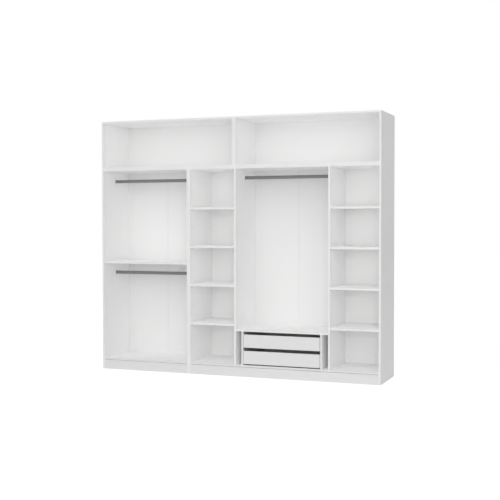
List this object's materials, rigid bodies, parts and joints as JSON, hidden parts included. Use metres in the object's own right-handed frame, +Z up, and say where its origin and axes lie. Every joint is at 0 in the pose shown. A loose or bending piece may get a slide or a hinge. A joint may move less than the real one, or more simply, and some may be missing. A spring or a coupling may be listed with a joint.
{
  "type": "wardrobe",
  "caption": "Open white board wardrobe with hanging bays on oval rails, shelf columns, drawers on runners and top boxes.",
  "frame": {"origin": "on the floor under the middle of the wardrobe's box", "axes": "+X to the wardrobe's right seen from the front, +Y towards its back, +Z up; the open front faces -Y"},
  "size_m": [2.7, 0.51, 2.345],
  "materials": {
    "white_board": "white melamine on chipboard, fine grain, satin",
    "back_panel": "thin hardboard, white lacquer",
    "drawer_box_board": "light grey foil on board, matte",
    "drawer_base_panel": "thin hardboard, light grey foil",
    "rail_metal": "grey coat, satin",
    "white_steel": "white coat, satin",
    "strip_plastic": "white extruded strip",
    "runner_steel": "zinc-plated rolled steel",
    "zinc": "zinc-plated",
    "dowel_wood": "fluted beech",
    "glide_plastic": "moulded, dark grey"
  },
  "bodies": {
    "carcass": {"left_unit_left_side": "white_board", "left_unit_right_side": "white_board", "left_unit_top": "white_board", "left_unit_bottom": "white_board", "left_unit_plinth": "white_board", "left_unit_shelf": "white_board", "left_unit_back_panels": "back_panel", "right_unit_left_side": "white_board", "right_unit_right_side": "white_board", "right_unit_left_divider": "white_board", "right_unit_right_divider": "white_board", "right_unit_top": "white_board", "right_unit_bottom": "white_board", "right_unit_plinth": "white_board", "right_unit_plinth_braces": "white_board", "right_unit_back_panels": "back_panel", "back_joint_strips": "strip_plastic", "left_column_shelves": "white_board", "right_column_shelves": "white_board", "left_top_box_left_side": "white_board", "left_top_box_right_side": "white_board", "left_top_box_top": "white_board", "left_top_box_bottom": "white_board", "right_top_box_left_side": "white_board", "right_top_box_right_side": "white_board", "right_top_box_top": "white_board", "right_top_box_bottom": "white_board", "top_box_back_panels": "back_panel", "upper_left_rail": "rail_metal", "lower_left_rail": "rail_metal", "wide_bay_rail": "rail_metal", "drawer_unit_top": "white_board", "drawer_unit_left_side": "white_board", "drawer_unit_right_side": "white_board", "runner_cabinet_members": "runner_steel", "rail_sockets": "white_steel", "shelf_pins": "zinc", "cam_locks": "zinc", "cam_bolts": "zinc", "dowels": "dowel_wood", "confirmat_screws": "zinc", "unit_connectors": "white_steel", "floor_glides": "glide_plastic", "short_screws": "zinc"},
    "upper_drawer": {"upper_drawer_front": "white_board", "upper_drawer_left_side": "drawer_box_board", "upper_drawer_right_side": "drawer_box_board", "upper_drawer_back": "drawer_box_board", "upper_drawer_base": "drawer_base_panel", "upper_runner_drawer_members": "runner_steel", "upper_drawer_fasteners": "zinc"},
    "lower_drawer": {"lower_drawer_front": "white_board", "lower_drawer_left_side": "drawer_box_board", "lower_drawer_right_side": "drawer_box_board", "lower_drawer_back": "drawer_box_board", "lower_drawer_base": "drawer_base_panel", "lower_runner_drawer_members": "runner_steel", "lower_drawer_fasteners": "zinc"},
    "upper_runner_middles": {"upper_runner_middle_members": "runner_steel"},
    "lower_runner_middles": {"lower_runner_middle_members": "runner_steel"}
  },
  "joints": [
    {"name": "upper_drawer_slide", "type": "slide", "parent": "carcass", "child": "upper_drawer", "axis": [0, -1, 0], "range_m": [0, 0.43]},
    {"name": "lower_drawer_slide", "type": "slide", "parent": "carcass", "child": "lower_drawer", "axis": [0, -1, 0], "range_m": [0, 0.43]},
    {"name": "upper_runner_slide", "type": "slide", "parent": "carcass", "child": "upper_runner_middles", "axis": [0, -1, 0], "range_m": [0, 0.215]},
    {"name": "lower_runner_slide", "type": "slide", "parent": "carcass", "child": "lower_runner_middles", "axis": [0, -1, 0], "range_m": [0, 0.215]}
  ],
  "couplings": [
    {"joint": "upper_runner_slide", "follows": "upper_drawer_slide", "ratio": 0.5},
    {"joint": "lower_runner_slide", "follows": "lower_drawer_slide", "ratio": 0.5}
  ]
}
